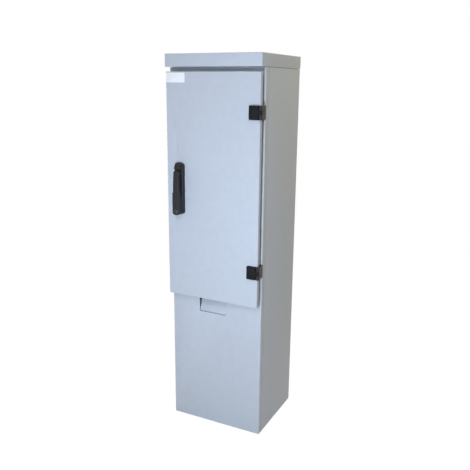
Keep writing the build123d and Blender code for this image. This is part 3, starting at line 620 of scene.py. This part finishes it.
lockPlan = {
    "rim": (0.5 * mm, 3), "ring": 1.3 * mm, "sink": 0.7 * mm,
    "keyWidth": 1.8 * mm, "keyHeight": 8 * mm, "keyDepth": 6 * mm,
}


def makeLock(plan):
    low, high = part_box("lock_plug")
    x, _, z = midway(low, high)
    halfWidth, halfHeight = plan["keyWidth"] / 2, plan["keyHeight"] / 2
    lock = rodLike("lock_plug", "lockCylinder", plan["rim"])
    sinkFront(lock, plan["ring"], plan["sink"])
    keyLow = (x - halfWidth, low.y - overrun, z - halfHeight)
    cutBlock(lock, keyLow, (x + halfWidth, low.y + plan["keyDepth"], z + halfHeight))
    finishPiece(lock, "lock", "lock_metal", ("lock_plug",))


spindleEdge = (0.5 * mm, 3)
tongueEdge = (0.4 * mm, 2)
tongueLook = {
    "a": (0.16, 0.16, 0.165), "b": (0.21, 0.21, 0.215), "rough": (0.50, 0.62),
    "scale": 260, "bump": 0.04}
tongueFinish = metalFinish("tongueFinish", tongueLook)  # plated, duller than the panel

makeEscutcheon(escutcheonPlan)
makeLever(leverPlan)
makeLock(lockPlan)
softCopy("handle_spindle", "spindleCasting", spindleEdge)
softCopy("latch_tongue", "latchTongue", tongueEdge, tongueFinish)
print("swing handle made")


# block hinges: leaf with a snap-in cover over its screws

hingePlan = {
    "leafWidth": 30 * mm, "corner": (1.6 * mm, 4), "front": (1.5 * mm, 4),
    "coverIn": 5 * mm, "coverWidth": 18 * mm, "coverSink": 0.9 * mm, "coverGap": 0.35 * mm,
    "coverEdge": (0.45 * mm, 3), "knuckle": 5 * mm, "knuckleSides": 56, "pinHole": 2.56 * mm,
    "middleShare": 0.34, "armLap": 2 * mm, "armEdge": (0.4 * mm, 2), "split": 0.7 * mm, "splitPast": 1 * mm,
    "bracketEdge": (0.5 * mm, 3),
}
hingeLook = {
    "a": (0.006, 0.006, 0.007), "b": (0.010, 0.010, 0.011), "rough": (0.46, 0.60),
    "grain": 1600, "bump": 0.12, "shine": 0.14}
hingeFinish = coatedFinish("hingeFinish", hingeLook)  # deeper black than the handle


def makeDoorLeaf(plan):
    low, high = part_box("upper_hinge_door_leaf")
    right = low.x + plan["leafWidth"]
    axisX, axisY = high.x - plan["knuckle"], high.y - plan["knuckle"]
    level = (low.z + high.z) / 2
    half = (high.z - low.z) * plan["middleShare"] / 2
    bottom, top = level - half, level + half  # of the middle knuckle
    leaf = roundedBlock("upperHingeLeaf", low, (right, high.y, high.z), plan["corner"], plan["front"])
    sunkLow = (low.x + plan["coverIn"], low.y - overrun, low.z + plan["coverIn"])
    sunkRight = low.x + plan["coverIn"] + plan["coverWidth"]
    cutBlock(leaf, sunkLow, (sunkRight, low.y + plan["coverSink"], high.z - plan["coverIn"]))
    arm = startBlock("arm", (right - plan["armLap"], low.y, bottom), (axisX, high.y, top))
    roundOff(arm, "FACE", facesFront, plan["armEdge"])
    combine(leaf, arm, "UNION")
    axisLow, axisHigh = (axisX, axisY, bottom), (axisX, axisY, top)
    combine(leaf, startRod("knuckle", plan["knuckle"], axisLow, axisHigh, plan["knuckleSides"]), "UNION")
    cutRod(leaf, plan["pinHole"], (axisX, axisY, low.z - overrun), (axisX, axisY, high.z + overrun))
    splitHigh = (right + plan["split"], low.y + plan["split"], top + plan["splitPast"])
    cutBlock(leaf, (right, low.y - overrun, bottom - plan["splitPast"]), splitHigh)
    return leaf


def makeCover(plan):
    low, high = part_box("upper_hinge_door_leaf")
    gap = plan["coverIn"] + plan["coverGap"]
    right = low.x + plan["coverIn"] + plan["coverWidth"] - plan["coverGap"]
    coverLow = (low.x + gap, low.y, low.z + gap)
    cover = startBlock("upperHingeCover", coverLow, (right, low.y + plan["coverSink"], high.z - gap))
    roundOff(cover, "FACE", facesFront, plan["coverEdge"])
    return cover


def makeHinges(plan):
    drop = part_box("lower_hinge_door_leaf")[0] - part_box("upper_hinge_door_leaf")[0]
    leaf = makeDoorLeaf(plan)
    cover = makeCover(plan)
    lowerLeaf = copyPiece(leaf, "lowerHingeLeaf", drop)
    lowerCover = copyPiece(cover, "lowerHingeCover", drop)
    finishPiece(leaf, "door", "black_plastic", ("upper_hinge_door_leaf",), hingeFinish)
    finishPiece(lowerLeaf, "door", "black_plastic", ("lower_hinge_door_leaf",), hingeFinish)
    for piece in (cover, lowerCover):
        finishPiece(piece, "door", "black_plastic", finish=hingeFinish)
    for level in ("upper", "lower"):
        softCopy(level + "_hinge_frame_leaf", level + "HingeBracket", plan["bracketEdge"])


makeHinges(hingePlan)
print("hinges made")


# sheets, moulded and rubber pieces get rounded edges: new name, width in mm, steps

softEdges = {
    "door_gasket": ("doorSeal", 2.6, 4),
    "breaker_shroud": ("breakerShroud", 0.7, 3),
    "breaker_window": ("breakerWindow", 0.5, 3),
    "residual_current_device": ("residualCurrentDevice", 0.6, 3),
    "single_pole_breaker": ("singlePoleBreaker", 0.6, 3),
    "three_pole_breaker": ("threePoleBreaker", 0.6, 3),
    "residual_current_device_toggle": ("residualToggle", 0.7, 3),
    "single_pole_breaker_toggle": ("singleToggle", 0.7, 3),
    "three_pole_breaker_toggle": ("threeToggle", 0.7, 3),
    "test_button": ("testButton", 0.5, 3),
    "single_phase_socket": ("singlePhaseHousing", 0.8, 3),
    "three_phase_socket": ("threePhaseHousing", 0.8, 3),
    "single_phase_socket_lid": ("singlePhaseLid", 1.2, 4),
    "three_phase_socket_lid": ("threePhaseLid", 1.2, 4),
    "supply_box": ("supplyBox", 0.8, 3),
    "supply_lid": ("supplyLid", 0.6, 3),
    "supply_glands": ("supplyGlands", 0.9, 3),
    "supply_terminals": ("supplyTerminals", 0.5, 2),
    "door_panel": ("doorSheet", 0.7, 3),
    "roof_cap": ("roofSheet", 0.7, 3),
    "front_frame": ("frontSheet", 0.6, 3),
    "body_shell": ("bodySheet", 0.6, 3),
}
for node, (name, width, steps) in softEdges.items():
    softCopy(node, name, (width * mm, steps))
print("sheets and moulded pieces rounded:", len(softEdges))


# cable flap with its rolled foot

flapPlan = {"roll": 4.1 * mm, "rollSides": 56, "edge": (0.35 * mm, 2), "pinClear": 0.08 * mm}


def makeFlap(plan):
    low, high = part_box("cable_flap")
    pinLow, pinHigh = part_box("flap_pin")
    _, y, z = (pinLow + pinHigh) / 2
    flap = softTwin("cable_flap", "cableFlap", plan["edge"])
    roll = startRod("roll", plan["roll"], (low.x, y, z), (high.x, y, z), plan["rollSides"])
    bevelEdges(roll, plan["edge"])
    combine(flap, roll, "UNION")
    bore = pinHigh.z - z + plan["pinClear"]
    cutRod(flap, bore, (low.x - overrun, y, z), (high.x + overrun, y, z), plan["rollSides"])
    finishPiece(flap, bodyOf["cable_flap"], slotOf["cable_flap"], ("cable_flap",))


makeFlap(flapPlan)
print("cable flap made")


# contact inserts with round holes and plated sleeves

insertPlans = {
    "single_phase_socket_insert": {"name": "singlePhase", "count": 3, "circle": 9 * mm, "hole": 3.0 * mm},
    "three_phase_socket_insert": {"name": "threePhase", "count": 5, "circle": 14 * mm, "hole": 3.6 * mm},
}
sleevePlan = {"fit": 0.98, "sunk": 4 * mm, "wall": 0.6 * mm, "depth": 18 * mm}
insertRim = (0.8 * mm, 3)


def makeSleeve(plan, hole, depth):
    # modelled on the axis, with the insert's front at zero
    sleeve = startRod("sleeve", hole * plan["fit"], (0, depth, 0), (0, plan["sunk"], 0), smallSides)
    sinkFront(sleeve, plan["wall"], plan["depth"])
    return sleeve


def makeInsert(node, plan):
    low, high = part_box(node)
    x, _, z = midway(low, high)
    insert = rodLike(node, plan["name"] + "Insert", insertRim)
    angles = [2 * math.pi * step / plan["count"] for step in range(plan["count"])]
    holes = [(x + plan["circle"] * math.cos(angle), z + plan["circle"] * math.sin(angle)) for angle in angles]
    for hole in holes:
        cutDeep(insert, plan["hole"], hole, low.y - overrun, high.y + overrun, smallSides)
    finishPiece(insert, "cabinet", "contact_grey", (node,))
    sleeve = makeSleeve(sleevePlan, plan["hole"], high.y - low.y)
    sleeves = scatter(sleeve, plan["name"] + "Sleeves", [(hx, low.y, hz) for hx, hz in holes])
    finishPiece(sleeves, "cabinet", "steel")


for node, plan in insertPlans.items():
    makeInsert(node, plan)
print("contact inserts made")


# screws, nuts and washers

screwSizes = {
    "panel": {"radius": 4.5 * mm, "height": 2.6 * mm},
    "small": {"radius": 2.6 * mm, "height": 1.8 * mm},
    "box": {"radius": 5.0 * mm, "height": 2.2 * mm},
}
screwShape = {  # shares of the radius and height
    "dome": 0.6, "domeSteps": 5, "slotWidth": 0.16, "slotLength": 0.62, "slotFloor": 0.45, "slotReach": 2,
}


def screwHead(radius, height):
    # pan head facing the front, modelled at the origin
    shape = screwShape
    head = startRod("screwHead", radius, (0, 0, 0), (0, -height, 0), smallSides)
    roundOff(head, "FACE", facesFront, (height * shape["dome"], shape["domeSteps"]))
    narrow, long = radius * shape["slotWidth"], radius * shape["slotLength"]
    front, floor = -height * shape["slotReach"], -height * shape["slotFloor"]
    for x, z in ((narrow, long), (long, narrow)):
        cutBlock(head, (-x, front, -z), (x, floor, z))
    return head


nutSizes = {
    "door": {"radius": 4.4 * mm, "height": 3.6 * mm, "stud": 2.3 * mm},
    "tongue": {"radius": 5.6 * mm, "height": 4.0 * mm, "stud": 0},
}
nutShape = {  # shares of the radius and height where no unit is given
    "sides": 6, "edge": 0.08, "edgeSteps": 2,
    "washer": 1.05, "washerThick": 0.8 * mm, "washerEdge": (0.2 * mm, 2),
    "studFrom": 0.5, "studPast": 1.8 * mm, "studSides": 28, "studEdge": 0.2, "studSteps": 2,
}


def hexNut(radius, height, stud):
    # nut on its washer with the stud's end, modelled at the origin facing the back
    shape = nutShape
    seat = shape["washerThick"]
    nut = startRod("hexNut", radius, (0, seat, 0), (0, seat + height, 0), shape["sides"])
    bevelEdges(nut, (radius * shape["edge"], shape["edgeSteps"]))
    washer = startRod("washer", radius * shape["washer"], (0, 0, 0), (0, seat, 0))
    bevelEdges(washer, shape["washerEdge"])
    pieces = [nut, washer]
    if stud:
        start, end = (0, height * shape["studFrom"], 0), (0, seat + height + shape["studPast"], 0)
        studEnd = startRod("studEnd", stud, start, end, shape["studSides"])
        bevelEdges(studEnd, (stud * shape["studEdge"], shape["studSteps"]))
        pieces.append(studEnd)
    return joinPieces(pieces, "hexNut")


def cornerPlaces(node, inset, y):
    low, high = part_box(node)
    return [(x, y, z) for x in (low.x + inset, high.x - inset) for z in (low.z + inset, high.z - inset)]


def addScrews(name, size, places, slot="steel"):
    finishPiece(scatter(screwHead(**screwSizes[size]), name, places), "cabinet", slot)


def addNuts(name, size, places, body):
    finishPiece(scatter(hexNut(**nutSizes[size]), name, places), body, "steel")


screwPlaces = {
    "panelInset": 9 * mm, "panelRows": (0.08, 0.5, 0.95), "shroudInset": 3.2 * mm, "shroudProud": 3 * mm,
    "flangePitch": {"single_phase_socket_insert": 30 * mm, "three_phase_socket_insert": 38 * mm},
    "flangeProud": 6 * mm, "lidInset": 9 * mm,
}


def placeScrews(plan):
    low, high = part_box("equipment_panel")
    reach, rise = high.x - plan["panelInset"], high.z - low.z
    panelPlaces = [(side * reach, low.y, low.z + rise * row) for side in (-1, 1) for row in plan["panelRows"]]
    addScrews("panelScrews", "panel", panelPlaces)
    shroudPlaces = cornerPlaces("breaker_shroud", plan["shroudInset"], low.y - plan["shroudProud"])
    addScrews("shroudScrews", "small", shroudPlaces)
    flangePlaces = []
    for node, pitch in plan["flangePitch"].items():
        x, _, z = midway(*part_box(node))
        flangePlaces += [
            (x + sx * pitch, low.y - plan["flangeProud"], z + sz * pitch) for sx in (-1, 1) for sz in (-1, 1)]
    addScrews("socketScrews", "panel", flangePlaces)
    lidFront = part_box("supply_lid")[0].y
    addScrews("boxLidScrews", "box", cornerPlaces("supply_lid", plan["lidInset"], lidFront), "box_grey")


nutPlaces = {
    "doorThick": 2 * mm, "hingeInset": 25.6 * mm, "hingeHalf": 12 * mm,
    "handleFoot": 14 * mm, "handleTop": 8 * mm,
}


def placeNuts(plan):
    inside = doorLow.y + plan["doorThick"]
    hingePlaces = []
    for level in ("upper", "lower"):
        low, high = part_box(level + "_hinge_door_leaf")
        x, middle = low.x + plan["hingeInset"], (low.z + high.z) / 2
        hingePlaces += [(x, inside, middle + side * plan["hingeHalf"]) for side in (-1, 1)]
    addNuts("hingeNuts", "door", hingePlaces, "door")
    baseLow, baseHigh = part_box("handle_base")
    handleLevels = (baseLow.z + plan["handleFoot"], baseHigh.z - plan["handleTop"])
    addNuts("handleNuts", "door", [(handleX, inside, z) for z in handleLevels], "door")
    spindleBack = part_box("handle_spindle")[1].y
    addNuts("tongueBolt", "tongue", [(handleX, spindleBack, pivotZ)], "spindle")


placeScrews(screwPlaces)
placeNuts(nutPlaces)
print("fasteners placed")


# stage: pale floor, soft light, camera

def mathNode(tree, operation, first, second):
    node = tree.nodes.new("ShaderNodeMath")
    node.operation = operation
    feed(tree, node.inputs[0], first)
    feed(tree, node.inputs[1], second)
    return node.outputs[0]


def seenRays(tree):
    # one for camera, mirror and see-through rays, none for the light on the object
    path = tree.nodes.new("ShaderNodeLightPath").outputs
    total = path["Is Camera Ray"]
    for name in ("Is Glossy Ray", "Is Transmission Ray"):
        total = mathNode(tree, "MAXIMUM", total, path[name])
    return total


def mixShaders(tree, factor, first, second, output):
    mix = tree.nodes.new("ShaderNodeMixShader")
    for socket, source in zip(mix.inputs, (factor, first.outputs[0], second.outputs[0])):
        feed(tree, socket, source)
    feed(tree, tree.nodes[output].inputs["Surface"], mix.outputs[0])


stagePlan = {
    "floorSize": 40.0, "floorWhite": 0.50, "floorRough": 0.9, "floorGlow": 0.94, "glowLevel": 1.05,
    "worldLight": (0.232, 0.216, 0.178), "worldSeen": (1.0, 1.0, 1.0),
}


def makeFloor(plan):
    deselectAll()
    bpy.ops.mesh.primitive_plane_add(size=plan["floorSize"], location=(0, 0, 0))
    floor = bpy.context.object
    floor.name = "studioFloor"
    material, tree, shader = newMaterial("floorFinish")
    feed(tree, shader.inputs["Base Color"], withAlpha((plan["floorWhite"],) * 3))
    feed(tree, shader.inputs["Roughness"], plan["floorRough"])
    glow = tree.nodes.new("ShaderNodeEmission")
    feed(tree, glow.inputs["Strength"], plan["glowLevel"])
    share = mathNode(tree, "MULTIPLY", seenRays(tree), plan["floorGlow"])
    mixShaders(tree, share, shader, glow, "Material Output")
    floor.data.materials.append(material)


def makeWorld(plan):
    world = bpy.data.worlds.new("studioWorld")
    bpy.context.scene.world = world
    world.use_nodes = True
    tree = world.node_tree
    light = tree.nodes["Background"]
    seen = tree.nodes.new("ShaderNodeBackground")
    feed(tree, light.inputs["Color"], withAlpha(plan["worldLight"]))
    feed(tree, seen.inputs["Color"], withAlpha(plan["worldSeen"]))
    mixShaders(tree, seenRays(tree), light, seen, "World Output")


lamps = {
    "frontKey": {
        "place": (0.30, -1.36, 0.62), "aim": (0.15, -0.15, 0.60),
        "size": 0.36, "power": 12.0, "colour": (0.70, 0.81, 1.0)},
    "topKey": {
        "place": (0.36, -1.40, 1.66), "aim": (0.24, -0.15, 0.74),
        "size": 0.42, "power": 7.4, "colour": (0.75, 0.83, 0.98)},
    "leftFill": {
        "place": (-2.2, -1.8, 1.6), "aim": (0.0, -0.1, 0.6),
        "size": 1.6, "power": 0.4, "colour": (0.85, 0.93, 1.0)},
    "rightFill": {
        "place": (1.00, 0.55, 1.80), "aim": (0.16, 0.0, 0.8),
        "size": 0.6, "power": 3.6, "colour": (1.0, 0.88, 0.56)},
    "backFill": {
        "place": (-1.5, 1.5, 1.6), "aim": (0.0, 0.0, 0.6),
        "size": 1.2, "power": 24, "colour": (1.0, 0.97, 0.92)},
    "overhead": {
        "place": (0.0, 0.25, 3.0), "aim": (0.0, 0.2, 0.0),
        "size": 0.8, "power": 12, "colour": (1.0, 0.97, 0.92)},
}


def makeLamp(name, plan):
    deselectAll()
    way = Vector(plan["aim"]) - Vector(plan["place"])
    turn = way.to_track_quat("-Z", "Y").to_euler()
    bpy.ops.object.light_add(type="AREA", location=plan["place"], rotation=turn)
    lamp = bpy.context.object
    lamp.name = name
    lamp.data.size = plan["size"]
    lamp.data.energy = plan["power"]
    lamp.data.color = plan["colour"]
    lamp.visible_camera = False


cameraPlan = {
    "azimuth": 26.6444, "elevation": 14.2376, "roll": 0.5480, "distance": 1.9393,
    "target": (0.01645, -0.0330, 0.63533), "lens": 45.42, "sensor": 36.0,
}


def makeCamera(plan):
    azimuth, elevation, roll = (math.radians(plan[angle]) for angle in ("azimuth", "elevation", "roll"))
    level = math.cos(elevation)
    back = Vector((math.sin(azimuth) * level, -math.cos(azimuth) * level, math.sin(elevation)))
    right = (-back).cross(Vector((0, 0, 1))).normalized()
    up = right.cross(-back)
    side = math.cos(roll) * right + math.sin(roll) * up
    rise = math.cos(roll) * up - math.sin(roll) * right
    bpy.ops.object.camera_add()
    camera = bpy.context.object
    camera.matrix_world = Matrix((side, rise, back)).transposed().to_4x4()
    camera.location = Vector(plan["target"]) + back * plan["distance"]
    camera.data.lens = plan["lens"]
    camera.data.sensor_width = plan["sensor"]
    bpy.context.scene.camera = camera


makeFloor(stagePlan)
makeWorld(stagePlan)
for name, plan in lamps.items():
    makeLamp(name, plan)
makeCamera(cameraPlan)
bpy.context.scene.view_settings.view_transform = "Standard"
print("stage ready")
